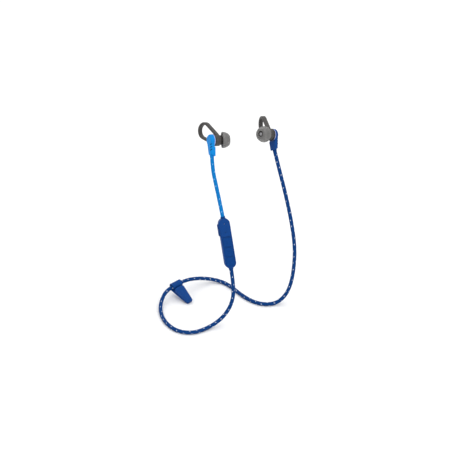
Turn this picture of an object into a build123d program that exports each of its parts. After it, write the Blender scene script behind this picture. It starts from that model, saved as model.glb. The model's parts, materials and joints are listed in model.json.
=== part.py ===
"""Pair of in-ear sport earphones joined by one cord with an in-line controller and a shirt clip.

Frame: millimetres, +Z up, +Y to the wearer's back, +X from the right bud to the left bud.
The origin is the middle of the left ear tip's band, where the wearer's left ear holds the set.
"""
import os
from math import cos, radians, sin, tan

from build123d import *

# ---------------------------------------------------------------- driving dimensions
# cord
CORD_R = 1.8

# placing of the sub-assemblies: lean back, roll, yaw (degrees)
RIGHT_BUD_AT = (-44.9, -13.5, 0.7)
RIGHT_BUD_TURN = (-30, -4, 27)
LEFT_BUD_TURN = (-36, -4.6, 38)
CONTROLLER_AT = (-34.2, -55.4, -83.4)
CONTROLLER_TURN = (-20, -9, 11)
CLIP_YAW = 39.2
CLIP_PITCH = -5.3
CLIP_SLOPE = 20.5

# earbud, in its own frame: +X into the ear, +Y to the back of the head, +Z up
HEAD_R = 5.6
HEAD_DEPTH = 6.8
HEAD_EDGE = 2.0
HEAD_FRONT_X = -3.0
WALL = 0.9
STEM_FRONT_X = -2.2
STEM_TOP_R = 4.9
STEM_TIP_R = 1.3
STEM_TIP_HALF = 1.8
STEM_TIP_Z = -14.2
STEM_BLEND = 4.0
STEM_CUT_Z = -15.1
STEM_CUT_SLOPE = 25
CORD_EXIT_X = -4.5
CORD_EXIT_Z = -15.0
RELIEF_R = 1.95
SEAM_T = 0.5
FLANGE_T = 1.3
DRIVER_X = -2.0
NECK_R = 4.4
NECK_END_X = 6.0
NOZZLE_ROOT_X = 4.2
NOZZLE_YAW = -17
NOZZLE_DIP = 2
CONE_END = 3.4
NOZZLE_R = 2.3
NOZZLE_LIP_R = 2.6
NOZZLE_BORE_R = 1.5
NOZZLE_END = 8.9
RUNNING_GAP = 0.05

# silicone ear tip, stations measured along the nozzle
TIP_RIM = 2.4
TIP_BAND = 1.6
TIP_BAND_R = 7.5
TIP_FRONT = 9.7
TIP_FRONT_R = 3.8
TIP_WALL = 0.8
TIP_CORE_R = 3.7
TIP_CORE_START = 4.4
TIP_MOUNT = TIP_RIM + TIP_BAND / 2

# ear loop
COLLAR_R = 5.4
COLLAR_X = (-1.0, 3.2)
LOOP_PLANE_X = 1.3
LOOP_REACH = 17.65
LOOP_LIFT = {"right": 34, "left": 42}      # how each soft loop sits as worn in
LOOP_TILT = {"right": 15.8, "left": 21}
LOOP_FAR_R = 8.0
LOOP_BAND = 2.4
LOOP_HALF_WIDTH = 2.0
LOOP_EDGE = 0.7

# controller, in its own frame: +Z along the cord, -Y the keyed face
CASE_LENGTH = 47.0
CASE_WIDTH = 10.6
CASE_FRONT_Y = -3.6
CASE_BACK_Y = 3.8
CASE_EDGE = 1.2
CASE_WALL = 0.9
SPLIT_GAP = 0.1
STEP_Z = 6.7                      # seam between the plain upper block and the keys
STEP_DEPTH = 0.3
GROOVE = 0.5
KEY_CENTRES = {"volume_up_key": 1.2, "play_key": -7.9, "volume_down_key": -17.0}
KEY_SIZE = (8.0, 8.3)
KEY_GAP = 0.15
KEY_CORNER = 1.6
KEY_PROUD = 0.25
KEY_TRAVEL = 0.35
GLAND_R = 2.2
GLAND_PROUD = 1.5
GLAND_INSET = 2.0
GLAND_FLANGE_R = 2.35
GLAND_FLANGE_T = 0.3
PORT_Z = 13.5
PORT_COVER_SIZE = (10.4, 4.6, 0.8)
PORT_COVER_GAP = 0.08
PORT_HINGE_Z = 8.0
PORT_COVER_CORNER = 1.2
PORT_Y = 0.85

# shirt clip, in its own frame: +X along the cord, the tail points to -Y, +Z away from the cloth
CLIP_WIDTH = 12.0
CLIP_TAIL_WIDTH = 6.4
CLIP_LENGTH = 22.5
CLIP_SKEW = -0.5
CLIP_CORNER = 1.5
TUNNEL_R = 2.4
HOOD_R = 3.4
HOOD_X = (-4.8, 5.9)
BASE_TOP_Z = -1.95
BASE_T = 1.2
BASE_HEAD_Y = 2.6
JAW_GAP = 0.25
LEVER_HEAD_Y = -4.3
LEVER_HEAD_RISE = 19            # slope under the lever's head, so that it can dip
RIDGE_X = -1.2
RIDGE_Z = 2.9                   # height of the ridge above the cord's centre, at the cord
RIDGE_FALL = 8
LEFT_FACET = 14
RIGHT_FACET = 6
PIVOT_Y = -7.4
PIVOT_Z = -0.7
PIN_R = 0.5
EAR_R = 0.95
EAR_X = 3.0
LUG_X = 2.1
LUG_T = 0.7
POCKET_HALF = 3.7
POCKET_CEILING = 1.25
COIL_R = 0.9
COIL_HALF = 1.5

RIGHT_CORD_MIDDLE = [
    (-47.2, -28.8, -21.5), (-44.2, -35.3, -33.5), (-41.2, -41.5, -46.0),
]

NECK_CORD_MIDDLE = [
    (-28.4, -67.9, -118.5), (-28.2, -71.5, -132.5), (-33.1, -73.6, -145.5), (-41.8, -76.3, -155.0),
    (-52.8, -83.3, -158.5), (-66.3, -91.3, -158.5), (-81.3, -87.3, -158.5), (-91.8, -72.8, -158.5),
    (-96.8, -55.8, -158.5), (-96.8, -40.8, -156.2), (-91.5, -29.6, -150.0), (-74.8, -16.0, -148.0),
    (-63.8, -7.3, -151.0), (-52.8, -0.3, -155.6), (-40.8, -0.3, -158.3), (-31.3, -8.8, -158.5),
    (-24.3, -19.8, -158.5), (-16.3, -30.8, -158.5), (-6.8, -39.3, -158.5), (3.2, -42.3, -158.5),
    (13.2, -39.8, -158.2), (21.2, -36.8, -151.8), (26.0, -35.5, -140.5), (28.7, -34.1, -123.0),
    (29.3, -31.1, -102.0), (25.7, -26.8, -77.0), (19.7, -19.8, -50.5), (13.5, -10.8, -28.5),
]
CLIP_RUN = (10, 11)               # the clip sits at the middle of the run between these two points


# ---------------------------------------------------------------- derived frames
def mirrored(point):
    """The same point on the left earbud."""
    x, y, z = point
    return (-x, y, z)


RIGHT_BUD = Pos(*RIGHT_BUD_AT) * Rot(*RIGHT_BUD_TURN)
CONTROLLER = Pos(*CONTROLLER_AT) * Rot(*CONTROLLER_TURN)
NOZZLE = Plane(
    origin=(NOZZLE_ROOT_X, 0, 0),
    z_dir=(
        cos(radians(NOZZLE_DIP)) * cos(radians(NOZZLE_YAW)),
        cos(radians(NOZZLE_DIP)) * sin(radians(NOZZLE_YAW)),
        -sin(radians(NOZZLE_DIP)),
    ),
)
TIP_MIDDLE = (Rot(*LEFT_BUD_TURN) * Pos(*mirrored(tuple(NOZZLE.from_local_coords((0, 0, TIP_MOUNT)))))).position
LEFT_BUD = Pos(-TIP_MIDDLE) * Rot(*LEFT_BUD_TURN)
CLIP_AT = tuple((a + b) / 2 for a, b in zip(*(NECK_CORD_MIDDLE[i] for i in CLIP_RUN)))
CLIP = Pos(*CLIP_AT) * Rot(0, 0, CLIP_YAW) * Rot(0, CLIP_PITCH, 0) * Rot(CLIP_SLOPE, 0, 0)

parts = {}


def along_x(radius, start, end):
    """A round bar on the X axis between two stations."""
    return Pos((start + end) / 2, 0, 0) * Rot(0, 90, 0) * Cylinder(radius, end - start)


def along_nozzle(radius, start, end):
    """A round bar on the nozzle's axis between two stations."""
    return NOZZLE * Pos(0, 0, (start + end) / 2) * Cylinder(radius, end - start)


def block(low, high):
    """A box between two corners."""
    size = [b - a for a, b in zip(low, high)]
    middle = [(a + b) / 2 for a, b in zip(low, high)]
    return Pos(*middle) * Box(*size)


# ---------------------------------------------------------------- earbud pieces
def rear_housing():
    """Round head with a slim stem that carries the cord, open towards the front housing."""
    outline = Sketch() + Circle(STEM_TOP_R)
    outline += Pos(-STEM_TIP_HALF, STEM_TIP_Z) * Circle(STEM_TIP_R)
    outline += Pos(STEM_TIP_HALF, STEM_TIP_Z) * Circle(STEM_TIP_R)
    outline = make_face(make_hull(outline.edges())) + Circle(HEAD_R)
    outline = fillet(outline.vertices().filter_by_position(Axis.Y, -4, -2), STEM_BLEND)
    shell = Pos(-HEAD_DEPTH, 0, 0) * extrude(Plane.YZ * outline, HEAD_FRONT_X + HEAD_DEPTH)
    heel = Pos(-HEAD_DEPTH, 0, 0) * extrude(Plane.YZ * outline, STEM_FRONT_X + HEAD_DEPTH)
    shell += heel & block((-HEAD_DEPTH + 1, -HEAD_R, -20), (0, HEAD_R, -HEAD_R - 0.6))
    shell = fillet(shell.edges().filter_by_position(Axis.X, -HEAD_DEPTH - 0.01, -HEAD_DEPTH + 0.01), HEAD_EDGE)
    cutter = Pos(STEM_FRONT_X, 0, STEM_CUT_Z - 5) * Rot(0, STEM_CUT_SLOPE, 0) * Pos(-5, 0, 0) * Box(24, 20, 10)
    shell -= cutter
    shell -= along_x(HEAD_R - WALL, -HEAD_DEPTH + WALL, 1)
    shell -= block((-HEAD_DEPTH + WALL, -1.8, -12.2), (HEAD_FRONT_X - 0.1, 1.8, 0))
    shell -= Pos(CORD_EXIT_X, 0, -12) * Cylinder(RELIEF_R + 0.02, 8)
    return shell


def strain_relief():
    """Rubber bush that seats in the stem's end and holds the cord."""
    bush = Pos(CORD_EXIT_X, 0, CORD_EXIT_Z + 1.9) * Cylinder(RELIEF_R, 3.8)
    return bush


def seam_ring():
    """Pale gasket between the two housings."""
    ring = along_x(HEAD_R + 0.05, HEAD_FRONT_X, HEAD_FRONT_X + SEAM_T)
    return ring - along_x(HEAD_R - WALL, -HEAD_DEPTH, 1)


def front_housing():
    """Flange, round neck for the ear loop, cone and angled nozzle, hollow throughout."""
    back = HEAD_FRONT_X + SEAM_T
    flange_end = back + FLANGE_T
    body = along_x(HEAD_R, back, flange_end) + along_x(NECK_R, back, NECK_END_X)
    neck_ring = Plane.YZ.offset(NECK_END_X - 0.1) * Circle(NECK_R - 0.2)
    cone_ring = NOZZLE * Pos(0, 0, CONE_END) * Circle(NOZZLE_R + 0.9)
    body += loft([neck_ring.face(), cone_ring.face()])
    body += along_nozzle(NOZZLE_R, CONE_END - 0.5, NOZZLE_END)
    body += along_nozzle(NOZZLE_LIP_R, NOZZLE_END - 1.0, NOZZLE_END - 0.4)
    body -= along_x(HEAD_R - WALL, -HEAD_DEPTH, flange_end - WALL)
    body -= along_x(NECK_R - WALL, -HEAD_DEPTH, NECK_END_X - 1.0)
    body -= along_nozzle(NOZZLE_BORE_R, -1, NOZZLE_END + 1)
    return body


def driver_basket():
    """Ring-shaped frame of the dynamic driver."""
    basket = along_x(HEAD_R - WALL - 0.05, -1.6, -0.1) - along_x(3.7, -1.2, 1) - along_x(3.0, -2, 0)
    return Pos(DRIVER_X, 0, 0) * basket


def driver_magnet():
    """Magnet and cup behind the driver's frame."""
    return Pos(DRIVER_X, 0, 0) * along_x(2.95, -3.6, -1.0)


def driver_diaphragm():
    """Thin domed diaphragm in front of the magnet."""
    return Pos(DRIVER_X, 0, 0) * (along_x(3.65, -0.75, -0.6) + along_x(1.8, -0.75, -0.35))


def nozzle_mesh():
    """Round wire mesh that keeps wax out of the nozzle."""
    return along_nozzle(NOZZLE_BORE_R - 0.01, NOZZLE_END - 0.5, NOZZLE_END - 0.25)


def ear_tip():
    """Mushroom-shaped silicone tip with a hollow skirt, on the nozzle."""
    bore = NOZZLE_LIP_R + RUNNING_GAP
    inner_rim = TIP_BAND_R - TIP_WALL
    with BuildSketch(Plane.XZ) as profile:
        with BuildLine():
            Polyline(
                (inner_rim, TIP_RIM), (TIP_BAND_R, TIP_RIM), (TIP_BAND_R, TIP_RIM + TIP_BAND),
            )
            Spline(
                [(TIP_BAND_R, TIP_RIM + TIP_BAND), (6.3, 7.2), (TIP_FRONT_R, TIP_FRONT)],
                tangents=[(0, 1), (-1, 0.15)],
            )
            Polyline(
                (TIP_FRONT_R, TIP_FRONT), (bore, TIP_FRONT), (bore, TIP_CORE_START),
                (TIP_CORE_R, TIP_CORE_START), (TIP_CORE_R, 8.0),
            )
            Spline(
                [(TIP_CORE_R, 8.0), (5.6, 6.6), (inner_rim, TIP_RIM)],
                tangents=[(0.5, 0.3), (0.1, -1)],
            )
        make_face()
    return NOZZLE * revolve(profile.sketch, Axis.Z)


def ear_loop(side):
    """Silicone collar on the neck with a belt-shaped loop that lies in the ear's bowl."""
    tilt = radians(LOOP_TILT[side])
    lift = radians(LOOP_LIFT[side])
    plane = Plane(
        origin=(LOOP_PLANE_X, 0, 0), x_dir=(-sin(tilt), cos(tilt), 0), z_dir=(cos(tilt), sin(tilt), 0),
    )
    pulleys = Sketch() + Circle(COLLAR_R) + Pos(LOOP_REACH * cos(lift), LOOP_REACH * sin(lift)) * Circle(LOOP_FAR_R)
    belt = make_face(make_hull(pulleys.edges()))
    hole = offset(belt, -LOOP_BAND) - Circle(COLLAR_R - 0.2)
    band = extrude(plane * (belt - hole), LOOP_HALF_WIDTH, both=True)
    band = fillet(band.edges().filter_by(GeomType.LINE, reverse=True), LOOP_EDGE)
    low, high = COLLAR_X
    loop = band - along_x(HEAD_R + 0.7, -10, low) - block((high, -12, -12), (20, 12, 16))
    loop += along_x(COLLAR_R, low, high)
    return loop - along_x(NECK_R + RUNNING_GAP, -10, 10)


BUD_PIECES = {
    "rear_housing": rear_housing,
    "strain_relief": strain_relief,
    "seam_ring": seam_ring,
    "front_housing": front_housing,
    "driver_basket": driver_basket,
    "driver_magnet": driver_magnet,
    "driver_diaphragm": driver_diaphragm,
    "nozzle_mesh": nozzle_mesh,
    "ear_tip": ear_tip,
}
for piece, make in BUD_PIECES.items():
    shape = make()
    parts[f"right_{piece}"] = RIGHT_BUD * shape
    parts[f"left_{piece}"] = LEFT_BUD * mirror(shape, about=Plane.YZ)
parts["right_ear_loop"] = RIGHT_BUD * ear_loop("right")
parts["left_ear_loop"] = LEFT_BUD * mirror(ear_loop("left"), about=Plane.YZ)


# ---------------------------------------------------------------- controller pieces
def stadium(width, length, y_start, y_end):
    """A bar with round ends, standing along Z, between two depths."""
    outline = Plane.XZ * SlotOverall(length, width, rotation=90)
    return Pos(0, y_start, 0) * extrude(outline, -(y_end - y_start))


def edges_at_y(shape, y):
    """The outline edges of a shape at one depth."""
    return shape.edges().filter_by_position(Axis.Y, y - 0.01, y + 0.01)


def key_cap(centre, grow=0.0):
    """Rounded key outline as a solid through the front wall."""
    width, height = KEY_SIZE
    outline = RectangleRounded(width + 2 * grow, height + 2 * grow, KEY_CORNER + grow)
    return Pos(0, 0, centre) * extrude(Plane.XZ * outline, 10, both=True)


def gland_bore():
    """The hole through both ends of the case for the cord's glands."""
    return Cylinder(GLAND_R + 0.02, CASE_LENGTH + 4)


def port_bore():
    """The charging socket's hole in the left side wall."""
    return block((-9, -0.7, PORT_Z - 3.95), (-3, 2.45, PORT_Z + 3.95))


def front_cover():
    """Keyed half of the case: plain upper block, windows for the keys."""
    cover = stadium(CASE_WIDTH, CASE_LENGTH, CASE_FRONT_Y, 0)
    cover = fillet(edges_at_y(cover, CASE_FRONT_Y), CASE_EDGE)
    low_end = (CASE_WIDTH, CASE_FRONT_Y + STEP_DEPTH, STEP_Z)
    cover -= block((-CASE_WIDTH, -9, -40), low_end)
    cover -= block((-CASE_WIDTH, -9, STEP_Z - GROOVE), (CASE_WIDTH, CASE_FRONT_Y + 2 * STEP_DEPTH, STEP_Z))
    cover -= stadium(CASE_WIDTH - 2 * CASE_WALL, CASE_LENGTH - 2 * CASE_WALL, CASE_FRONT_Y + 1.2, 1)
    for centre in KEY_CENTRES.values():
        cover -= key_cap(centre, KEY_GAP) & block((-6, -9, -40), (6, 0, 40))
    cover -= gland_bore()
    cover -= port_bore()
    cover -= Pos(0, CASE_FRONT_Y, 18.4) * Rot(90, 0, 0) * Cylinder(0.4, 6)
    cover -= Pos(0, CASE_FRONT_Y, 10.6) * Rot(90, 0, 0) * Cylinder(0.72, 6)
    return cover


def back_cover():
    """Plain tray that closes the case from behind."""
    cover = stadium(CASE_WIDTH, CASE_LENGTH, SPLIT_GAP, CASE_BACK_Y)
    cover = fillet(edges_at_y(cover, CASE_BACK_Y), CASE_EDGE)
    cover -= stadium(CASE_WIDTH - 2 * CASE_WALL, CASE_LENGTH - 2 * CASE_WALL, -1, CASE_BACK_Y - 0.8)
    return cover - gland_bore() - port_bore()


def key(centre):
    """Push key with a post that works the switch behind it."""
    front = CASE_FRONT_Y + STEP_DEPTH - KEY_PROUD
    cap = key_cap(centre) & block((-6, front, -40), (6, CASE_FRONT_Y + 1.2, 40))
    cap = fillet(edges_at_y(cap, front), 0.2)
    post = block((-1, CASE_FRONT_Y + 1.1, centre - 1), (1, CASE_FRONT_Y + 1.45, centre + 1))
    return cap + post


def circuit_board():
    """Board that carries the radio, the switches and the socket."""
    return block((-4.1, -1.1, -19.0), (4.1, -0.5, 19.0))


def key_switches():
    """Three tactile switches, one behind each key."""
    return Compound(children=[
        block((-1.6, -1.75, centre - 1.6), (1.6, -1.1, centre + 1.6)) for centre in KEY_CENTRES.values()
    ])


def battery():
    """Flat lithium cell behind the board."""
    cell = block((-3.6, -0.3, -19.0), (3.6, 2.7, 7.0))
    return fillet(cell.edges().filter_by(Axis.Z), 0.8)


def radio_module():
    """Shielded radio chip on the board."""
    return block((-2.6, -1.9, 13.2), (2.6, -1.1, 17.0))


def usb_socket():
    """Micro-size charging socket that faces the left side."""
    shell = block((-4.9, -0.5, PORT_Z - 3.75), (0.3, 2.3, PORT_Z + 3.75))
    mouth = block((-6, -0.2, PORT_Z - 3.45), (-0.4, 2.0, PORT_Z + 3.45))
    tongue = block((-4.2, 0.6, PORT_Z - 2.4), (0, 1.2, PORT_Z + 2.4))
    return shell - mouth + tongue


def led_lens():
    """Clear light pipe for the status lamp."""
    return Pos(0, -2.75, 10.6) * Rot(90, 0, 0) * Cylinder(0.7, 1.6)


def microphone():
    """Small microphone behind its pinhole."""
    return block((-1.6, -2.0, 17.3), (1.6, -1.1, 19.0))


def port_cover():
    """Flap over the charging socket, with the barrel of its hinge at the lower end."""
    length, width, thickness = PORT_COVER_SIZE
    inner = -CASE_WIDTH / 2 - PORT_COVER_GAP
    low = (inner - thickness, PORT_Y - width / 2, PORT_HINGE_Z)
    flap = block(low, (inner, PORT_Y + width / 2, PORT_HINGE_Z + length))
    ends = flap.edges().filter_by(Axis.X).sort_by(Axis.Z)[-2:]
    flap = fillet(ends, PORT_COVER_CORNER)
    flap = fillet(flap.faces().sort_by(Axis.X)[0].edges().sort_by(Axis.Z)[1:], thickness / 3)
    return flap + Pos(inner - thickness / 2, PORT_Y, PORT_HINGE_Z) * Rot(90, 0, 0) * Cylinder(thickness / 2, width)


def gland(end):
    """Rubber gland that holds a cord at one end of the case."""
    inner = CASE_LENGTH / 2 - GLAND_INSET
    outer = CASE_LENGTH / 2 + GLAND_PROUD
    bush = Pos(0, 0, (inner + outer) / 2) * Cylinder(GLAND_R, outer - inner)
    collar = Pos(0, 0, inner + GLAND_FLANGE_T / 2) * Cylinder(GLAND_FLANGE_R, GLAND_FLANGE_T)
    top = fillet((bush + collar).edges().sort_by(Axis.Z)[-1], 0.35)
    return top if end == "upper" else Rot(180, 0, 0) * top


for name, centre in KEY_CENTRES.items():
    parts[name] = CONTROLLER * key(centre)
for piece in (
    front_cover, back_cover, circuit_board, key_switches, battery, radio_module, usb_socket, led_lens,
    microphone, port_cover,
):
    parts[piece.__name__] = CONTROLLER * piece()
for end in ("upper", "lower"):
    parts[f"{end}_gland"] = CONTROLLER * gland(end)


# ---------------------------------------------------------------- shirt clip pieces
PIVOT_X = CLIP_SKEW * PIVOT_Y / CLIP_LENGTH


def clip_outline(start, end, inset=0.0):
    """Tapered tab between two distances from the cord, skewed towards its tail."""
    def half(distance):
        share = distance / CLIP_LENGTH
        return (CLIP_WIDTH * (1 - share) + CLIP_TAIL_WIDTH * share) / 2 - inset

    def middle(distance):
        return -CLIP_SKEW * distance / CLIP_LENGTH

    corners = [
        (middle(start) - half(start), -start), (middle(start) + half(start), -start),
        (middle(end) + half(end), -end), (middle(end) - half(end), -end),
    ]
    return make_face(Polyline(*corners, close=True))


def pivot_bar(radius, start, end):
    """A bar on the clip's pivot axis between two distances from the clip's middle line."""
    return Pos(PIVOT_X + (start + end) / 2, PIVOT_Y, PIVOT_Z) * Rot(0, 90, 0) * Cylinder(radius, end - start)


def pivot_block(low, high):
    """A box between two corners measured from the pivot."""
    shift = (PIVOT_X, PIVOT_Y, PIVOT_Z)
    return block([a + b for a, b in zip(low, shift)], [a + b for a, b in zip(high, shift)])


def clip_base():
    """Back plate with the hood that rides on the cord and two ears for the pin."""
    bottom = BASE_TOP_Z - BASE_T
    plate = Pos(0, 0, bottom) * extrude(clip_outline(-BASE_HEAD_Y, CLIP_LENGTH), BASE_T)
    base = fillet(plate.edges().filter_by(Axis.Z), CLIP_CORNER)
    base += along_x(HOOD_R, *HOOD_X)
    base += block((HOOD_X[0], -BASE_HEAD_Y, bottom), (HOOD_X[1], BASE_HEAD_Y, 0))
    for side in (-1, 1):
        low, high = side * EAR_X - WALL / 2, side * EAR_X + WALL / 2
        base += pivot_bar(EAR_R, low, high)
        base += pivot_block((low, -EAR_R, BASE_TOP_Z - PIVOT_Z - BASE_T / 2), (high, EAR_R, 0))
    return base - along_x(TUNNEL_R, -CLIP_WIDTH, CLIP_WIDTH) - pivot_bar(PIN_R + RUNNING_GAP, -5, 5)


def above_facet(roll):
    """The room above one facet of the lever's top, to cut away."""
    return Pos(RIDGE_X, 0, RIDGE_Z) * Rot(RIDGE_FALL, roll, 0) * block((-20, -40, 0), (20, 20, 20))


def clip_lever():
    """Front jaw: ridged tab, hollow around the base's ears and the spring."""
    low = BASE_TOP_Z + JAW_GAP
    lever = Pos(0, 0, low) * extrude(clip_outline(-LEVER_HEAD_Y, CLIP_LENGTH, JAW_GAP / 2), 6)
    lever = fillet(lever.edges().filter_by(Axis.Z), CLIP_CORNER)
    lever -= above_facet(-LEFT_FACET)
    lever -= above_facet(RIGHT_FACET)
    lever -= Pos(0, PIVOT_Y, low + 0.1) * Rot(LEVER_HEAD_RISE, 0, 0) * block((-12, 0, -8), (12, 12, 0))
    lever -= pivot_block((-POCKET_HALF, -2.2, -4), (POCKET_HALF, 1.9, POCKET_CEILING))
    for side in (-1, 1):
        start, end = side * LUG_X - LUG_T / 2, side * LUG_X + LUG_T / 2
        lever += pivot_bar(EAR_R, start, end)
        lever += pivot_block((start, -EAR_R, 0), (end, EAR_R, POCKET_CEILING + 0.3))
    return lever - pivot_bar(PIN_R + RUNNING_GAP, -2.8, 2.8)


def clip_pin():
    """Steel pin through the base's ears and the lever's lugs."""
    return pivot_bar(PIN_R, -EAR_X - WALL / 2, EAR_X + WALL / 2)


def clip_spring():
    """Torsion spring on the pin: its coil and one leg under the lever's head."""
    coil = pivot_bar(COIL_R, -COIL_HALF, COIL_HALF) - pivot_bar(PIN_R + RUNNING_GAP, -3, 3)
    return coil + pivot_block((-COIL_HALF, 0, -COIL_R), (-COIL_HALF + 0.4, 1.3, -COIL_R + 0.35))


parts["clip_base"] = CLIP * clip_base()
parts["clip_lever"] = CLIP * clip_lever()
parts["clip_pin"] = CLIP * clip_pin()
parts["clip_spring"] = CLIP * clip_spring()


# ---------------------------------------------------------------- cords
def place_of(frame, point):
    """A point of a sub-assembly's own frame, in the set's frame."""
    return (frame * Pos(*point)).position


def cord(name, points):
    """A tube of straight runs joined by arcs as large as the runs allow; prints its radii."""
    points = [Vector(*point) for point in points]
    runs = [b - a for a, b in zip(points, points[1:])]
    radii = []
    for before, after in zip(runs, runs[1:]):
        half_turn = radians(before.get_angle(after) / 2)
        radii.append(0.45 * min(before.length, after.length) / tan(half_turn))
    path = FilletPolyline(*points, radius=radii)
    section = Plane(origin=points[0], z_dir=runs[0]) * Circle(CORD_R)
    tube = sweep(section, path=path)
    print(name, "length", round(path.length, 1), "radii", [round(radius, 1) for radius in radii])
    print(name, "volume", round(tube.volume, 1), "section x length", round(section.area * path.length, 1))
    return tube


EXIT = (CORD_EXIT_X, 0, CORD_EXIT_Z)
CASE_END = CASE_LENGTH / 2 + GLAND_PROUD
right_route = [place_of(RIGHT_BUD, EXIT), *RIGHT_CORD_MIDDLE, place_of(CONTROLLER, (0, 0, CASE_END))]
neck_route = [
    place_of(CONTROLLER, (0, 0, -CASE_END)), *NECK_CORD_MIDDLE, place_of(LEFT_BUD, mirrored(EXIT)),
]
parts["right_cord"] = cord("right_cord", right_route)
parts["neck_cord"] = cord("neck_cord", neck_route)

# ---------------------------------------------------------------- write one STEP per node
os.makedirs("parts", exist_ok=True)
for name, shape in parts.items():
    export_step(shape, f"parts/{name}.step")
print("cord ends:", right_route[0], right_route[-1], neck_route[0], neck_route[-1])
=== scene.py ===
import json
import logging
import math
import random
from dataclasses import dataclass
from enum import Enum
from typing import Sequence

import bmesh
import bpy
from mathutils import Matrix, Vector


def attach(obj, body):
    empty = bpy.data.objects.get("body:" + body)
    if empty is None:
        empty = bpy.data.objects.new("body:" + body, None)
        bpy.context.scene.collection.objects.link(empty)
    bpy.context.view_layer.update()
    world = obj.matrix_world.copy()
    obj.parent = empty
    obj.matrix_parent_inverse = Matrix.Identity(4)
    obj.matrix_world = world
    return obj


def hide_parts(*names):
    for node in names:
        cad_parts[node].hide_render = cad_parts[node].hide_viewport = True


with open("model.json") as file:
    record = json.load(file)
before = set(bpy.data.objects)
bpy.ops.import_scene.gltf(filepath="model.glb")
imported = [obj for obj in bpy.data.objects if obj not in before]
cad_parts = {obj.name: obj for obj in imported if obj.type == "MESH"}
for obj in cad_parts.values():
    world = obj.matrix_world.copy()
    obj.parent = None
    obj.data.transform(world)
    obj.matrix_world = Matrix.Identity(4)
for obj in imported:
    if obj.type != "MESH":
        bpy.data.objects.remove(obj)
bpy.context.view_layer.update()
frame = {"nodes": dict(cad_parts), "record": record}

MM = 0.001
LOG = logging.getLogger("earphones")

Point = tuple[float, float, float]
Colour = tuple[float, float, float]


class Side(Enum):
    """The ear that an earbud is made for."""

    RIGHT = "right"
    LEFT = "left"


class Shading(Enum):
    """How the faces of a new piece meet."""

    SMOOTH = "smooth"
    CRISP = "crisp"


# ------------------------------------------------------------------ places and meshes
def turned(degrees: Point) -> Matrix:
    """Turns about X, then the new Y, then the new Z.

    Args:
        degrees: The three angles.

    Returns:
        The rotation as a 4 by 4 matrix.
    """
    x, y, z = (math.radians(angle) for angle in degrees)
    return Matrix.Rotation(x, 4, "X") @ Matrix.Rotation(y, 4, "Y") @ Matrix.Rotation(z, 4, "Z")


def moved(*millimetres: float) -> Matrix:
    """A shift given in millimetres."""
    return Matrix.Translation(Vector(millimetres) * MM)


def mount_place(name: str) -> Vector:
    """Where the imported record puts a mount, in metres."""
    return next(Vector(m["pos_m"]) for m in frame["record"]["mounts"] if m["name"] == name)


def revolved(profile: Sequence[tuple[float, float]], steps: int) -> bmesh.types.BMesh:
    """Spins an outline once round the Z axis.

    Args:
        profile: (radius, height) pairs in millimetres; the last joins the first.
        steps: How many segments the full turn has.

    Returns:
        The closed ring as a bmesh.
    """
    shape = bmesh.new()
    corners = [shape.verts.new((radius * MM, 0, height * MM)) for radius, height in profile]
    outline = [shape.edges.new(pair) for pair in zip(corners, corners[1:] + corners[:1])]
    bmesh.ops.spin(
        shape, geom=corners + outline, cent=(0, 0, 0), axis=(0, 0, 1),
        angle=math.tau, steps=steps, use_merge=True,
    )
    bmesh.ops.remove_doubles(shape, verts=shape.verts, dist=MM / 1000)
    return shape


def rounded_block(size: Point, radius: float, segments: int = 3) -> bmesh.types.BMesh:
    """A block with all its edges rounded.

    Args:
        size: Its three sides in millimetres.
        radius: The radius of its edges in millimetres.
        segments: How many faces each edge's round has.

    Returns:
        The block, centred on the origin.
    """
    shape = bmesh.new()
    bmesh.ops.create_cube(shape, size=1, matrix=Matrix.Diagonal([*(side * MM for side in size), 1]))
    bmesh.ops.bevel(
        shape, geom=shape.edges[:], offset=radius * MM, segments=segments,
        affect="EDGES", profile=0.5, material=-1,
    )
    return shape


def merged(shapes: Sequence[bmesh.types.BMesh]) -> bmesh.types.BMesh:
    """Puts several shapes into one and frees them.

    Args:
        shapes: The shapes, each in its place.

    Returns:
        One shape that holds them all.
    """
    whole = bmesh.new()
    for shape in shapes:
        carrier = bpy.data.meshes.new("carrier")
        shape.to_mesh(carrier)
        shape.free()
        whole.from_mesh(carrier)
        bpy.data.meshes.remove(carrier)
    return whole


def piece(
    name: str, shape: bmesh.types.BMesh, place: Matrix, shading: Shading = Shading.SMOOTH
) -> bpy.types.Object:
    """Makes an object of a shape, with its place in its mesh.

    Args:
        name: The piece's name.
        shape: The shape in its own frame, which is freed.
        place: Where the shape's own frame lies in the set.
        shading: Whether its faces blend or meet in edges.

    Returns:
        The new object, at the origin.
    """
    shape.transform(place)
    bmesh.ops.recalc_face_normals(shape, faces=shape.faces)
    mesh = bpy.data.meshes.new(name)
    shape.to_mesh(mesh)
    shape.free()
    for face in mesh.polygons:
        face.use_smooth = shading is Shading.SMOOTH
    made = bpy.data.objects.new(name, mesh)
    bpy.context.collection.objects.link(made)
    return made


def soften(made: bpy.types.Object, levels: int) -> None:
    """Adds a subdivision surface with the same level in view and render."""
    smoother = made.modifiers.new("smooth", "SUBSURF")
    smoother.levels = levels
    smoother.render_levels = levels


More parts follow.
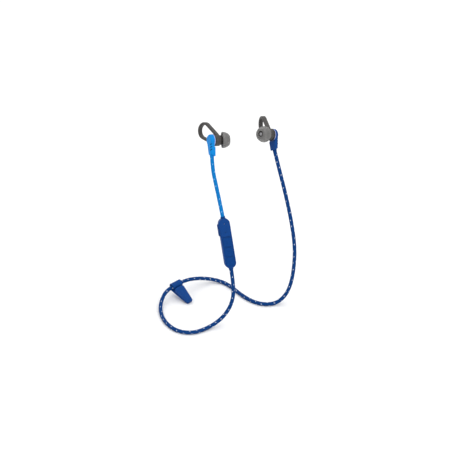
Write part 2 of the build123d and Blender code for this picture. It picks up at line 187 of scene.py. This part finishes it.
# ------------------------------------------------------------------ finishes
class Graph:
    """The node tree of one material, with short ways to add and join nodes."""

    def __init__(self, name: str) -> None:
        """Starts a material with its Principled shader.

        Args:
            name: The material's name.
        """
        self.material = bpy.data.materials.new(name)
        self.material.use_nodes = True
        self.tree = self.material.node_tree
        self.shader = self.tree.nodes["Principled BSDF"]

    def add(self, kind: str, **settings: object) -> bpy.types.Node:
        """Adds a node and sets its properties.

        Args:
            kind: The node's type.
            settings: Values of its properties by name.

        Returns:
            The new node.
        """
        node = self.tree.nodes.new(kind)
        for key, value in settings.items():
            setattr(node, key, value)
        return node

    def join(self, source: bpy.types.NodeSocket, target: bpy.types.NodeSocket) -> None:
        """Links an output to an input."""
        self.tree.links.new(source, target)

    def fix(self, **values: object) -> None:
        """Sets the shader's own sockets, underscores standing for spaces."""
        for key, value in values.items():
            self.shader.inputs[key.replace("_", " ")].default_value = value

    def noise(self, per_mm: float, detail: float = 3.0) -> bpy.types.NodeSocket:
        """Noise on object coordinates.

        Args:
            per_mm: How many spots fit in a millimetre.
            detail: How fine its smallest spots are.

        Returns:
            The noise's value.
        """
        place = self.add("ShaderNodeTexCoord")
        texture = self.add("ShaderNodeTexNoise")
        texture.inputs["Scale"].default_value = per_mm / MM
        texture.inputs["Detail"].default_value = detail
        self.join(place.outputs["Object"], texture.inputs["Vector"])
        return texture.outputs["Fac"]

    def spread(
        self, value: bpy.types.NodeSocket, low: float, high: float, start: float = 0.3, end: float = 0.7
    ) -> bpy.types.NodeSocket:
        """Maps a value to a range.

        Args:
            value: What is mapped.
            low: The result at start.
            high: The result at end.
            start: The value that gives low.
            end: The value that gives high.

        Returns:
            The mapped value.
        """
        ramp = self.add("ShaderNodeMapRange", clamp=True)
        self.join(value, ramp.inputs["Value"])
        for key, number in (("From Min", start), ("From Max", end), ("To Min", low), ("To Max", high)):
            ramp.inputs[key].default_value = number
        return ramp.outputs["Result"]

    def maths(self, operation: str, first: object, second: object = 0.0) -> bpy.types.NodeSocket:
        """One step of arithmetic on sockets or numbers.

        Args:
            operation: The step's name.
            first: Its first term.
            second: Its second term.

        Returns:
            The result.
        """
        step = self.add("ShaderNodeMath", operation=operation)
        for index, term in enumerate((first, second)):
            if isinstance(term, bpy.types.NodeSocket):
                self.join(term, step.inputs[index])
            else:
                step.inputs[index].default_value = term
        return step.outputs[0]

    def colours(self, share: bpy.types.NodeSocket, low: Colour, high: Colour) -> bpy.types.NodeSocket:
        """Blends two colours.

        Args:
            share: How much of the second colour shows.
            low: The first colour.
            high: The second colour.

        Returns:
            The blended colour.
        """
        mix = self.add("ShaderNodeMix", data_type="RGBA")
        self.join(share, mix.inputs["Factor"])
        colour_a, colour_b = (s for s in mix.inputs if s.type == "RGBA")
        colour_a.default_value = (*low, 1)
        colour_b.default_value = (*high, 1)
        return next(s for s in mix.outputs if s.type == "RGBA")

    def bump(self, height: bpy.types.NodeSocket, depth_mm: float) -> None:
        """Raises the surface.

        Args:
            height: A value from 0 to 1.
            depth_mm: How far 1 stands out, in millimetres.
        """
        relief = self.add("ShaderNodeBump")
        relief.inputs["Distance"].default_value = depth_mm * MM
        self.join(height, relief.inputs["Height"])
        self.join(relief.outputs["Normal"], self.shader.inputs["Normal"])


def shade(colour: Colour, factor: float) -> Colour:
    """A colour made darker or lighter."""
    return tuple(min(1.0, part * factor) for part in colour)


@dataclass(frozen=True)
class MouldedPlastic:
    """Spark-textured plastic with slight mottling and rubbed spots."""

    name: str
    colour: Colour
    roughness: float = 0.42
    grain_per_mm: float = 9.0
    depth_mm: float = 0.012
    mottle_per_mm: float = 0.35
    mottle_tints: tuple[float, float] = (0.92, 1.08)
    rub_per_mm: float = 0.9
    rub_range: tuple[float, float] = (-0.08, 0.1)
    shine: float = 0.12

    def material(self) -> bpy.types.Material:
        """Builds the node tree.

        Returns:
            The finished material.
        """
        graph = Graph(self.name)
        mottle = graph.spread(graph.noise(self.mottle_per_mm), 0.0, 1.0)
        tint = graph.colours(mottle, *(shade(self.colour, factor) for factor in self.mottle_tints))
        graph.join(tint, graph.shader.inputs["Base Color"])
        gloss, matt = (self.roughness + step for step in self.rub_range)
        rub = graph.spread(graph.noise(self.rub_per_mm, 5), gloss, matt)
        graph.join(rub, graph.shader.inputs["Roughness"])
        graph.bump(graph.noise(self.grain_per_mm, 2), self.depth_mm)
        graph.fix(Specular_IOR_Level=self.shine)
        return graph.material


@dataclass(frozen=True)
class Silicone:
    """Soft moulded rubber that lets some light in, with a faint bloom of dust."""

    name: str
    colour: Colour
    depth: float = 0.1
    clearness: float = 0.0
    roughness: float = 0.5
    shine: float = 0.12
    bloom_per_mm: float = 0.5
    bloom_tints: tuple[float, float] = (0.9, 1.12)
    skin_per_mm: float = 1.6
    skin_spread: float = 0.07
    grain_per_mm: float = 6.0
    depth_mm: float = 0.008

    def material(self) -> bpy.types.Material:
        """Builds the node tree.

        Returns:
            The finished material.
        """
        graph = Graph(self.name)
        bloom = graph.spread(graph.noise(self.bloom_per_mm, 4), 0.0, 1.0)
        tint = graph.colours(bloom, *(shade(self.colour, factor) for factor in self.bloom_tints))
        graph.join(tint, graph.shader.inputs["Base Color"])
        matt, gloss = self.roughness + self.skin_spread, self.roughness - self.skin_spread
        skin = graph.spread(graph.noise(self.skin_per_mm, 4), gloss, matt)
        graph.join(skin, graph.shader.inputs["Roughness"])
        graph.bump(graph.noise(self.grain_per_mm, 2), self.depth_mm)
        graph.fix(
            Subsurface_Weight=self.depth, Subsurface_Radius=(0.8, 0.8, 0.8), Subsurface_Scale=MM,
            Transmission_Weight=self.clearness, IOR=1.41, Sheen_Weight=0.02, Sheen_Roughness=0.4,
            Specular_IOR_Level=self.shine,
        )
        return graph.material


@dataclass(frozen=True)
class BraidedSleeve:
    """Textile braid: two sets of strands wound opposite ways, over and under each other."""

    name: str
    colour: Colour
    length_mm: float
    strands: int = 8
    lay_mm: float = 6.4
    # painted shade darkens the valleys between strands; painted light brightens their crowns
    valley_painted_shade: float = 0.72
    crown_painted_light: float = 1.1
    fibre_per_mm: float = 3.0
    fibre_share: float = 0.2
    crossing_lift: float = 0.12
    depth_mm: float = 0.09

    def material(self) -> bpy.types.Material:
        """Builds the node tree on the cord's own map: along it, then round it.

        Returns:
            The finished material.
        """
        graph = Graph(self.name)
        place = graph.add("ShaderNodeTexCoord")
        split = graph.add("ShaderNodeSeparateXYZ")
        graph.join(place.outputs["UV"], split.inputs["Vector"])
        along = graph.maths("MULTIPLY", split.outputs["X"], self.strands * self.length_mm / self.lay_mm)
        around = graph.maths("MULTIPLY", split.outputs["Y"], float(self.strands))
        waves = []
        for step in ("ADD", "SUBTRACT"):
            lane = graph.maths("FRACT", graph.maths(step, along, around))
            waves.append(graph.maths("SINE", graph.maths("MULTIPLY", lane, math.pi)))
        over = graph.maths("GREATER_THAN", *waves)
        strand = graph.maths("MAXIMUM", *waves)
        # painted shade and painted light: the colour runs from darker in the valleys between strands to
        # lighter on their crowns, standing in for light falling on the braid
        tint = graph.colours(
            graph.spread(strand, 0.0, 1.0, 0.55, 1.0),
            shade(self.colour, self.valley_painted_shade), shade(self.colour, self.crown_painted_light),
        )
        fibre = graph.add("ShaderNodeMix", data_type="RGBA", blend_type="MULTIPLY")
        first, second = (socket for socket in fibre.inputs if socket.type == "RGBA")
        fibre.inputs["Factor"].default_value = self.fibre_share
        graph.join(tint, first)
        graph.join(graph.noise(self.fibre_per_mm, 4), second)
        graph.join(next(s for s in fibre.outputs if s.type == "RGBA"), graph.shader.inputs["Base Color"])
        height = graph.maths("ADD", strand, graph.maths("MULTIPLY", over, self.crossing_lift))
        graph.bump(height, self.depth_mm)
        graph.join(graph.spread(strand, 0.8, 0.6, 0.5, 1.0), graph.shader.inputs["Roughness"])
        graph.fix(Sheen_Weight=0.03, Sheen_Roughness=0.5, Specular_IOR_Level=0.08)
        return graph.material


@dataclass(frozen=True)
class Metal:
    """Bare or plated metal with fine drawn lines."""

    name: str
    colour: Colour
    roughness: float = 0.3
    lines_per_mm: float = 7.0
    line_tint: float = 0.8
    line_range: tuple[float, float] = (-0.1, 0.15)
    depth_mm: float = 0.01

    def material(self) -> bpy.types.Material:
        """Builds the node tree.

        Returns:
            The finished material.
        """
        graph = Graph(self.name)
        lines = graph.noise(self.lines_per_mm, 6)
        tint = graph.colours(graph.spread(lines, 0.0, 1.0), shade(self.colour, self.line_tint), self.colour)
        graph.join(tint, graph.shader.inputs["Base Color"])
        polish = graph.spread(lines, *(self.roughness + step for step in self.line_range))
        graph.join(polish, graph.shader.inputs["Roughness"])
        graph.bump(lines, self.depth_mm)
        graph.fix(Metallic=1.0)
        return graph.material


@dataclass(frozen=True)
class WireGauze:
    """Fine woven wire: two crossed sets of round wires, with painted shade in the holes between them."""

    name: str
    wires_per_mm: float = 5.0
    painted_hole_shade: Colour = (0.02, 0.02, 0.02)
    wire: Colour = (0.5, 0.5, 0.52)
    depth_mm: float = 0.05

    def material(self) -> bpy.types.Material:
        """Builds the node tree.

        Returns:
            The finished material.
        """
        graph = Graph(self.name)
        place = graph.add("ShaderNodeTexCoord")
        split = graph.add("ShaderNodeSeparateXYZ")
        graph.join(place.outputs["Object"], split.inputs["Vector"])
        waves = []
        for axis in ("Y", "Z"):
            scaled = graph.maths("MULTIPLY", split.outputs[axis], self.wires_per_mm * math.pi / MM)
            waves.append(graph.maths("ABSOLUTE", graph.maths("SINE", scaled)))
        wire = graph.maths("MAXIMUM", *waves)
        # painted shade: the holes between the wires are near black, standing in for the shaded inside seen
        # through them
        tint = graph.colours(graph.spread(wire, 0.0, 1.0, 0.6, 0.9), self.painted_hole_shade, self.wire)
        graph.join(tint, graph.shader.inputs["Base Color"])
        graph.join(graph.spread(wire, 0.9, 0.35, 0.6, 0.9), graph.shader.inputs["Roughness"])
        graph.bump(wire, self.depth_mm)
        graph.fix(Metallic=0.8)
        return graph.material


@dataclass(frozen=True)
class Matt:
    """Plain diffuse surface with a breath of unevenness, such as a paper floor."""

    name: str
    colour: Colour
    roughness: float = 0.9

    def material(self) -> bpy.types.Material:
        """Builds the node tree.

        Returns:
            The finished material.
        """
        graph = Graph(self.name)
        tint = graph.colours(graph.noise(0.02, 2), shade(self.colour, 0.995), self.colour)
        graph.join(tint, graph.shader.inputs["Base Color"])
        graph.fix(Roughness=self.roughness, Specular_IOR_Level=0.1)
        return graph.material


LIGHT_BLUE = (0.001, 0.225, 0.640)
DEEP_BLUE = (0.001, 0.046, 0.215)
CORD_LIGHT = (0.001, 0.205, 0.600)
CORD_DEEP = (0.001, 0.046, 0.205)
WARM_GREY = (0.052, 0.048, 0.046)
PALE_GREY = (0.230, 0.225, 0.220)
SEAM_LILAC = (0.42, 0.47, 0.80)
BLACK_NYLON = (0.02, 0.02, 0.02)
SWITCH_BLACK = (0.03, 0.03, 0.03)
AMBER_FILM = (0.6, 0.42, 0.14)
MAGNET_PLATE = (0.75, 0.75, 0.77)
BOARD_GREEN = (0.01, 0.09, 0.03)
CELL_FOIL = (0.75, 0.76, 0.77)
TINNED_STEEL = (0.6, 0.6, 0.6)
SPRING_STEEL = (0.7, 0.7, 0.72)
FLOOR_WHITE = (0.93, 0.93, 0.93)
YARN_PALE_BLUE = (0.30, 0.60, 0.90)
YARN_WHITE = (0.75, 0.82, 0.95)


# ------------------------------------------------------------------ dressing
def dress(made: bpy.types.Object, material: bpy.types.Material) -> None:
    """Gives an object one material all over."""
    made.data.materials.clear()
    made.data.materials.append(material)


def dress_nodes(names: Sequence[str], material: bpy.types.Material) -> None:
    """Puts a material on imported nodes.

    Args:
        names: The nodes' names.
        material: Their finish.
    """
    for name in names:
        node = frame["nodes"][name]
        if not node.material_slots:
            node.data.materials.append(material)
        for slot in node.material_slots:
            slot.material = material
        LOG.info("dressed %s", name)


# ------------------------------------------------------------------ camera
@dataclass(frozen=True)
class Viewpoint:
    """The camera: a long lens that looks down at the set from in front of it."""

    aim: Point = (-32.32, -42.45, -76.01)
    distance: float = 1500.0
    elevation: float = 30.0
    lens: float = 128.16
    sensor: float = 36.0

    def build(self) -> None:
        """Makes the camera and hands it to the scene."""
        tilt = math.radians(self.elevation)
        away = Vector((0, -math.cos(tilt), math.sin(tilt))) * self.distance * MM
        camera = bpy.data.objects.new("camera", bpy.data.cameras.new("camera"))
        camera.data.lens = self.lens
        camera.data.sensor_width = self.sensor
        camera.data.clip_end = 20.0
        camera.location = Vector(self.aim) * MM + away
        camera.rotation_euler = (math.pi / 2 - tilt, 0, 0)
        bpy.context.collection.objects.link(camera)
        bpy.context.scene.camera = camera


# ------------------------------------------------------------------ cords
@dataclass
class Cord:
    """A braided cord along a smooth route, with reflective stitches in its braid."""

    node: str
    route: Sequence[Vector]
    colour: Colour
    stitch_colour: Colour
    length: float
    radius: float = 1.8
    stitch_every: float = 1.7
    stitch_size: Point = (1.5, 0.6, 0.24)
    stitch_turn: float = 97.0
    stitch_slant: float = 32.0
    stitch_wander: float = 25.0
    stitch_gaps: tuple[float, float] = (0.75, 1.25)
    seed: int = 11

    def spline_object(self, name: str, bevel: float) -> bpy.types.Object:
        """Makes the route's curve.

        Args:
            name: The object's name.
            bevel: Half its thickness in millimetres, or 0 for the bare line.

        Returns:
            The curve object.
        """
        curve = bpy.data.curves.new(name, "CURVE")
        curve.dimensions = "3D"
        curve.resolution_u = 16
        spline = curve.splines.new("NURBS")
        spline.points.add(len(self.route) - 1)
        for point, place in zip(spline.points, self.route):
            point.co = (*place, 1)
        spline.order_u = 3
        spline.use_endpoint_u = True
        curve.bevel_depth = bevel * MM
        curve.bevel_resolution = 6
        curve.use_fill_caps = bevel > 0
        made = bpy.data.objects.new(name, curve)
        bpy.context.collection.objects.link(made)
        return made

    def line(self) -> list[Vector]:
        """Reads the points of the route's own spline.

        Returns:
            Points along the cord's middle, in metres.
        """
        bare = self.spline_object("bare_line", 0)
        bpy.context.view_layer.update()
        mesh = bpy.data.meshes.new_from_object(bare.evaluated_get(bpy.context.evaluated_depsgraph_get()))
        points = [vertex.co.copy() for vertex in mesh.vertices]
        bpy.data.meshes.remove(mesh)
        bpy.data.objects.remove(bare)
        return points

    def stitches(self) -> bpy.types.Object:
        """Makes the short reflective stitches that wind round the cord.

        Returns:
            All the stitches as one object.
        """
        chance = random.Random(self.seed)
        shapes: list[bmesh.types.BMesh] = []
        points = self.line()
        side = (points[1] - points[0]).orthogonal().normalized()
        travelled, due, turn = 0.0, self.stitch_every * MM, 0.0
        for start, end in zip(points, points[1:]):
            run = end - start
            ahead = run.normalized()
            side = (side - ahead * side.dot(ahead)).normalized()
            while travelled + run.length > due:
                middle = start + ahead * (due - travelled)
                outward = Matrix.Rotation(math.radians(turn), 3, ahead) @ side
                across = ahead.cross(outward)
                axes = Matrix((ahead, across, outward)).transposed().to_4x4()
                shape = bmesh.new()
                bmesh.ops.create_uvsphere(shape, u_segments=8, v_segments=4, radius=0.5 * MM)
                shape.transform(
                    Matrix.Translation(middle + outward * self.radius * MM) @ axes
                    @ Matrix.Rotation(math.radians(self.stitch_slant), 4, "Z")
                    @ Matrix.Diagonal((*self.stitch_size, 1))
                )
                shapes.append(shape)
                turn += self.stitch_turn + chance.uniform(-self.stitch_wander, self.stitch_wander)
                due += self.stitch_every * MM * chance.uniform(*self.stitch_gaps)
            travelled += run.length
        return piece(f"{self.node}_stitches", merged(shapes), Matrix())

    def build(self) -> None:
        tube = self.spline_object(f"{self.node}_braid", self.radius)
        dress(tube, BraidedSleeve(f"{self.node} braid", self.colour, self.length).material())
        stitches = self.stitches()
        dress(stitches, MouldedPlastic(f"{self.node} reflective yarn", self.stitch_colour, 0.3).material())
        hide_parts(self.node)
        for made in (tube, stitches):
            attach(made, "headset")
        LOG.info("made %s", tube.name)


# ------------------------------------------------------------------ earbuds
@dataclass
class Earbud:
    """One earbud: housings, driver, ear loop and ear tip.

    Its own frame: X into the ear, Y to the back of the head, Z up.
    """

    side: Side
    turn: Point
    shell: Colour
    stem_exit: Point = (-4.5, 0.0, -15.0)
    nozzle_root: float = 4.2
    nozzle_turn: float = -17.0
    nozzle_dip: float = 2.0
    tip_mount: float = 3.2
    tip_outline: tuple[tuple[float, float], ...] = (
        (6.75, 2.55), (7.05, 2.40), (7.40, 2.46), (7.50, 2.75), (7.49, 3.95), (7.32, 4.90), (6.85, 6.40),
        (6.05, 7.90), (5.00, 9.10), (4.20, 9.60), (3.40, 9.70), (2.85, 9.62), (2.66, 9.30), (2.66, 7.20),
        (2.66, 4.80), (2.85, 4.45), (3.35, 4.42), (3.60, 4.75), (3.62, 6.80), (3.80, 7.75), (4.45, 7.90),
        (5.35, 7.15), (6.20, 5.80), (6.65, 4.10),
    )
    vent_half: Point = (0.28, 1.55, 0.42)
    vent_heights: tuple[float, ...] = (-3.6, -6.1, -8.6)
    vent_slant: float = 28.0
    vent_middle: float = 38.0
    shell_depth: float = 6.8
    shell_edge: float = 2.0
    stem_half: float = 4.9
    stem_taper: float = 0.127

    def name(self, part: str) -> str:
        """A piece's name on this side."""
        return f"{self.side.value}_{part}"

    def nozzle(self) -> Matrix:
        """The nozzle's frame, Z along its axis, in the earbud's own frame."""
        dip, yaw = math.radians(self.nozzle_dip), math.radians(self.nozzle_turn)
        axis = Vector((math.cos(dip) * math.cos(yaw), math.cos(dip) * math.sin(yaw), -math.sin(dip)))
        return moved(self.nozzle_root, 0, 0) @ axis.to_track_quat("Z", "Y").to_matrix().to_4x4()

    def place(self) -> Matrix:
        """Works out the earbud's own frame in the set from its ear-tip mount.

        Returns:
            The frame; the left earbud's is mirrored.
        """
        flip = Matrix.Diagonal((-1, 1, 1, 1)) if self.side is Side.LEFT else Matrix()
        pose = turned(self.turn) @ flip
        middle = pose @ (self.nozzle() @ Vector((0, 0, self.tip_mount * MM)))
        return Matrix.Translation(mount_place(f"ear_tip_{self.side.value}") - middle) @ pose

    def cord_exit(self) -> Vector:
        """Where the cord leaves the stem."""
        return self.place() @ (Vector(self.stem_exit) * MM)

    def build_tip(self) -> None:
        """The silicone tip: a thin flared skirt round a soft core."""
        tip = piece(self.name("silicone_tip"), revolved(self.tip_outline, 64), self.place() @ self.nozzle())
        soften(tip, 1)
        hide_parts(self.name("ear_tip"))
        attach(tip, self.name("tip"))
        dress(tip, Silicone(self.name("clear silicone"), PALE_GREY, 0.3, 0.4, 0.35, 0.5).material())
        LOG.info("made %s", tip.name)

    def vent_shadow(self, height: float) -> bmesh.types.BMesh:
        """One slanted sound vent, a patch of painted shadow that wraps round the stem's outer edge.

        Args:
            height: Its middle above the earbud's axis, in millimetres.

        Returns:
            The vent in the earbud's own frame.
        """
        shape = bmesh.new()
        bmesh.ops.create_uvsphere(shape, u_segments=24, v_segments=12, radius=1.0)
        shape.transform(
            Matrix.Rotation(math.radians(self.vent_slant), 4, "X") @ Matrix.Diagonal((*self.vent_half, 1))
        )
        half_width = self.stem_half + self.stem_taper * height
        edge = Vector((self.shell_edge - self.shell_depth, self.shell_edge - half_width))
        for vertex in shape.verts:
            radius = self.shell_edge - vertex.co.x
            angle = math.radians(self.vent_middle) + vertex.co.y / self.shell_edge
            vertex.co = Vector((
                edge.x - radius * math.cos(angle), edge.y - radius * math.sin(angle), height + vertex.co.z,
            )) * MM
        bmesh.ops.recalc_face_normals(shape, faces=shape.faces)
        return shape

    def build_vent_shadows(self) -> None:
        """Three slanted sound vents on the stem's outer edge, as dark patches of painted shadow."""
        shapes = [self.vent_shadow(height) for height in self.vent_heights]
        vent_shadows = piece(self.name("vent_shadows"), merged(shapes), self.place())
        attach(vent_shadows, "headset")
        # painted shadow: the vents are the shell colour darkened to 0.18, standing in for the shade inside
        # the openings
        dress(vent_shadows, MouldedPlastic(self.name("vent_shadow"), shade(self.shell, 0.18), 0.6).material())

    def build(self) -> None:
        """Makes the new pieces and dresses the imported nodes."""
        self.build_tip()
        self.build_vent_shadows()
        finishes = {
            "rear_housing": MouldedPlastic(self.name("shell"), self.shell, 0.42),
            "strain_relief": Silicone(self.name("relief"), shade(self.shell, 0.9)),
            "seam_ring": MouldedPlastic(self.name("seam"), SEAM_LILAC, 0.35),
            "front_housing": MouldedPlastic(self.name("front"), WARM_GREY, 0.45),
            "ear_loop": Silicone(self.name("loop silicone"), WARM_GREY, 0.08, shine=0.5),
            "nozzle_mesh": WireGauze(self.name("gauze")),
            "driver_basket": MouldedPlastic(self.name("basket"), BLACK_NYLON),
            "driver_magnet": Metal(self.name("magnet"), MAGNET_PLATE),
            "driver_diaphragm": MouldedPlastic(self.name("film"), AMBER_FILM, 0.25),
        }
        for part, finish in finishes.items():
            dress_nodes([self.name(part)], finish.material())


# ------------------------------------------------------------------ controller
class Icon(Enum):
    """The raised sign on a key."""

    PLUS = "plus"
    RING = "ring"
    MINUS = "minus"


@dataclass
class Controller:
    """The in-line controller. Its own frame: Z along the cord, -Y the keyed face."""

    at: Point = (-34.2, -55.4, -83.4)
    turn: Point = (-20, -9, 11)
    half_length: float = 25.0
    key_face: float = -3.55
    keys: tuple[tuple[str, str, float, Icon], ...] = (
        ("volume_up_key", "volume_up", 1.2, Icon.PLUS),
        ("play_key", "play", -7.9, Icon.RING),
        ("volume_down_key", "volume_down", -17.0, Icon.MINUS),
    )
    icon_arm: float = 2.8
    icon_width: float = 0.6
    icon_height: float = 0.2

    def place(self) -> Matrix:
        """The controller's own frame in the set."""
        return moved(*self.at) @ turned(self.turn)

    def cord_end(self, sign: int) -> Vector:
        """The face of the upper (1) or lower (-1) gland."""
        return self.place() @ Vector((0, 0, sign * self.half_length * MM))

    def icon_shape(self, icon: Icon) -> bmesh.types.BMesh:
        """Makes a key's raised sign, lying across X and Z.

        Args:
            icon: Which sign.

        Returns:
            The sign in its own frame.
        """
        bar = (self.icon_arm, self.icon_height, self.icon_width)
        if icon is Icon.RING:
            inner, outer, half = self.icon_arm / 2 - self.icon_width, self.icon_arm / 2, self.icon_height / 2
            ring = revolved(((inner, -half), (outer, -half), (outer, half), (inner, half)), 40)
            ring.transform(Matrix.Rotation(math.pi / 2, 4, "X"))
            return ring
        bars = [rounded_block(bar, 0.08, 2)]
        if icon is Icon.PLUS:
            upright = rounded_block(bar, 0.08, 2)
            upright.transform(Matrix.Rotation(math.pi / 2, 4, "Y"))
            bars.append(upright)
        return merged(bars)

    def build_icons(self, rubber: bpy.types.Material) -> None:
        """Raises the signs on the keys.

        Args:
            rubber: The keys' finish.
        """
        for _, body, height, icon in self.keys:
            place = self.place() @ moved(0, self.key_face, height)
            sign = piece(f"{body}_sign", self.icon_shape(icon), place, Shading.CRISP)
            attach(sign, body)
            dress(sign, rubber)

    def build(self) -> None:
        """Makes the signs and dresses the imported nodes."""
        case = MouldedPlastic("controller case", DEEP_BLUE, 0.45).material()
        rubber = Silicone("controller keys", shade(DEEP_BLUE, 0.95), 0.02, roughness=0.5).material()
        self.build_icons(rubber)
        dress_nodes(["front_cover", "back_cover"], case)
        dress_nodes([key for key, *_ in self.keys], rubber)
        dress_nodes(["port_cover", "upper_gland", "lower_gland"], rubber)
        inner = (
            (["circuit_board"], MouldedPlastic("solder mask", BOARD_GREEN, 0.3)),
            (["key_switches"], MouldedPlastic("switches", SWITCH_BLACK, 0.4)),
            (["battery", "microphone"], Metal("cell foil", CELL_FOIL, 0.4)),
            (["radio_module", "usb_socket"], Metal("tinned steel", TINNED_STEEL, 0.3)),
            (["led_lens"], Silicone("lamp lens", shade(DEEP_BLUE, 0.7), 0.0, 0.2, 0.3)),
        )
        for nodes, finish in inner:
            dress_nodes(nodes, finish.material())


# ------------------------------------------------------------------ shirt clip
@dataclass(frozen=True)
class ShirtClip:
    """The shirt clip that rides on the neck cord."""

    plates: tuple[str, str] = ("clip_base", "clip_lever")
    metal: tuple[str, str] = ("clip_pin", "clip_spring")

    def build(self) -> None:
        """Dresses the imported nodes."""
        plastic = MouldedPlastic("clip plastic", DEEP_BLUE, 0.45)
        steel = Metal("clip steel", SPRING_STEEL, 0.3)
        dress_nodes(self.plates, plastic.material())
        dress_nodes(self.metal, steel.material())


# ------------------------------------------------------------------ stage
@dataclass(frozen=True)
class Studio:
    """Pale floor, white surroundings and large soft lamps."""

    floor_level: float = -160.3
    floor_size: float = 12000.0
    surroundings: float = 0.8
    lamps_aim: Point = (0.0, 0.0, -90.0)
    lamps: tuple[tuple[str, Point, float, float], ...] = (
        ("key", (-100, 350, 1500), 2600, 16.0),
        ("fill", (500, -900, 800), 1200, 5.0),
    )

    def lamp(self, name: str, place: Point, size: float, watts: float) -> None:
        """A square lamp that faces the set.

        Args:
            name: The lamp's name.
            place: Where it hangs, in millimetres.
            size: Its side in millimetres.
            watts: Its power.
        """
        light = bpy.data.lights.new(name, "AREA")
        light.size = size * MM
        light.energy = watts
        lamp = bpy.data.objects.new(name, light)
        lamp.location = Vector(place) * MM
        towards = Vector(self.lamps_aim) * MM - lamp.location
        lamp.rotation_euler = towards.to_track_quat("-Z", "Y").to_euler()
        bpy.context.collection.objects.link(lamp)

    def build(self) -> None:
        """Makes the floor, the surroundings and the lamps."""
        shape = bmesh.new()
        bmesh.ops.create_grid(shape, x_segments=1, y_segments=1, size=self.floor_size / 2 * MM)
        floor = piece("floor", shape, moved(0, 0, self.floor_level))
        dress(floor, Matt("paper", FLOOR_WHITE).material())
        world = bpy.data.worlds.new("surroundings")
        world.use_nodes = True
        world.node_tree.nodes["Background"].inputs["Color"].default_value = (1, 1, 1, 1)
        world.node_tree.nodes["Background"].inputs["Strength"].default_value = self.surroundings
        bpy.context.scene.world = world
        for lamp in self.lamps:
            self.lamp(*lamp)
        bpy.context.scene.view_settings.view_transform = "Standard"


# ------------------------------------------------------------------ the set
RIGHT_MIDDLE: tuple[Point, ...] = (
    (-47.2, -28.8, -21.5), (-44.2, -35.3, -33.5), (-41.2, -41.5, -46.0),
)

NECK_MIDDLE: tuple[Point, ...] = (
    (-28.4, -67.9, -118.5), (-28.2, -71.5, -132.5), (-33.1, -73.6, -145.5), (-41.8, -76.3, -155.0),
    (-52.8, -83.3, -158.5), (-66.3, -91.3, -158.5), (-81.3, -87.3, -158.5), (-91.8, -72.8, -158.5),
    (-96.8, -55.8, -158.5), (-96.8, -40.8, -156.2), (-91.5, -29.6, -150.0), (-74.8, -16.0, -148.0),
    (-63.8, -7.3, -151.0), (-52.8, -0.3, -155.6), (-40.8, -0.3, -158.3), (-31.3, -8.8, -158.5),
    (-24.3, -19.8, -158.5), (-16.3, -30.8, -158.5), (-6.8, -39.3, -158.5), (3.2, -42.3, -158.5),
    (13.2, -39.8, -158.2), (21.2, -36.8, -151.8), (26.0, -35.5, -140.5), (28.7, -34.1, -123.0),
    (29.3, -31.1, -102.0), (25.7, -26.8, -77.0), (19.7, -19.8, -50.5), (13.5, -10.8, -28.5),
)


def metres(points: Sequence[Point]) -> list[Vector]:
    """Points given in millimetres, in metres."""
    return [Vector(point) * MM for point in points]


def main() -> None:
    """Builds the camera, the cords, the sub-assemblies and the stage, in that order."""
    Viewpoint().build()
    right = Earbud(Side.RIGHT, (-30, -4, 27), LIGHT_BLUE)
    left = Earbud(Side.LEFT, (-36, -4.6, 38), DEEP_BLUE)
    controller = Controller()
    right_route = [right.cord_exit(), *metres(RIGHT_MIDDLE), controller.cord_end(1)]
    neck_route = [controller.cord_end(-1), *metres(NECK_MIDDLE), left.cord_exit()]
    Cord("right_cord", right_route, CORD_LIGHT, YARN_PALE_BLUE, 55.5).build()
    Cord("neck_cord", neck_route, CORD_DEEP, YARN_WHITE, 449.6).build()
    for part in (right, left, controller, ShirtClip(), Studio()):
        part.build()
        LOG.info("built %s", type(part).__name__)


if __name__ == "__main__":
    logging.basicConfig(level=logging.INFO)
    main()
